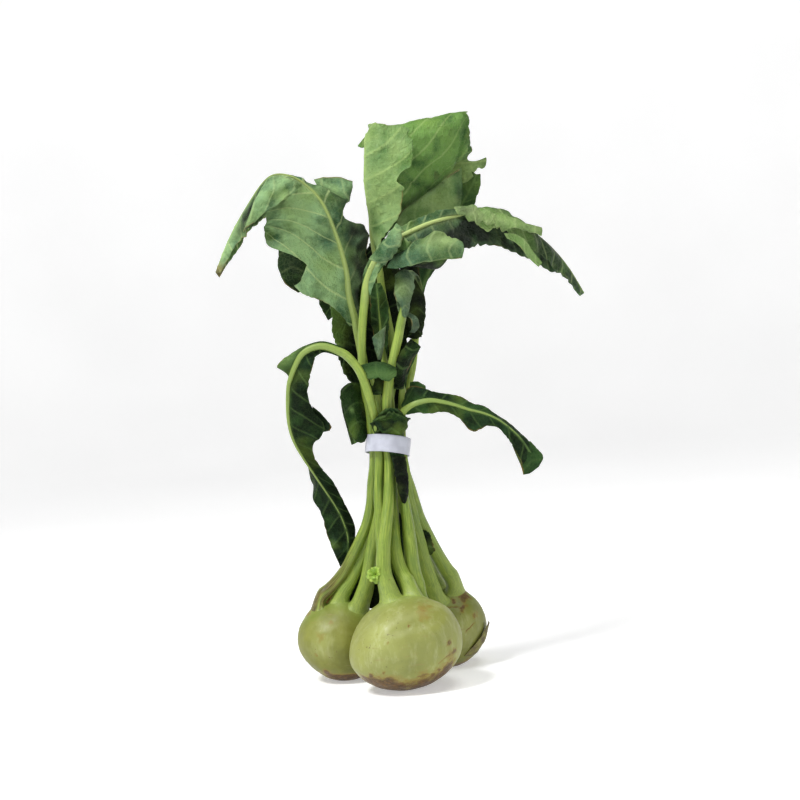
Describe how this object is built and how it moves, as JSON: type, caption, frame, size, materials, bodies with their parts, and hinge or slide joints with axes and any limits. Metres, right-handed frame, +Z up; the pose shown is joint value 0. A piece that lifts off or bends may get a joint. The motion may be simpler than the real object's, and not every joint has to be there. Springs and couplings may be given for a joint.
{
  "type": "kohlrabi bunch",
  "caption": "Bunch of fresh kohlrabi: pale green bulbs on long leaf stems, gathered by a flat white tape, with broad drooping leaves above it.",
  "frame": {"origin": "centre of the bounding box at the level of the surface that the three bulbs stand on", "axes": "+Z up from the bulbs to the top leaf, -Y towards the side with the largest bulb, +X to the right of someone facing that side"},
  "size_m": [0.2616, 0.1668, 0.4044],
  "materials": {
    "bulb_skin": "waxy skin, pale green, brown corky marks underneath",
    "stalk": "smooth, slightly waxy, yellow-green",
    "leaf_mid": "soft satin leaf, mid green, paler bluish underside",
    "leaf_light": "soft satin leaf, light green",
    "leaf_dark": "satin leaf, dark green",
    "leaf_grey": "dull wilting leaf, grey-green",
    "tape": "smooth white tape with a lavender tint",
    "sprout": "bright yellow-green young leaf",
    "dry_scar": "dry olive-brown"
  },
  "bodies": {
    "root": {"bulb_front": "bulb_skin", "bulb_left": "bulb_skin", "bulb_back": "bulb_skin", "stem_left_low": "stalk", "stem_wilted": "stalk", "stem_inner": "stalk", "stem_right_low": "stalk", "stem_right_high": "stalk", "stem_left_small": "stalk", "stem_front_curl": "stalk", "stem_left_high": "stalk", "stem_top": "stalk", "stem_right_fold": "stalk", "stem_right_back": "stalk", "stem_back_left": "stalk", "leaf_left_high": "leaf_mid", "leaf_left_low": "leaf_dark", "leaf_top": "leaf_light", "leaf_right_high": "leaf_mid", "leaf_right_low": "leaf_mid", "leaf_wilted": "leaf_grey", "leaf_right_back": "leaf_dark", "leaf_right_fold": "leaf_dark", "leaf_front_curl": "leaf_grey", "leaf_left_small": "leaf_dark", "leaf_back_left": "leaf_dark", "leaf_inner": "leaf_grey", "leaf_tucked": "leaf_dark", "tie_band": "tape", "sprout": "sprout", "leaf_scar": "dry_scar"}
  },
  "joints": []
}
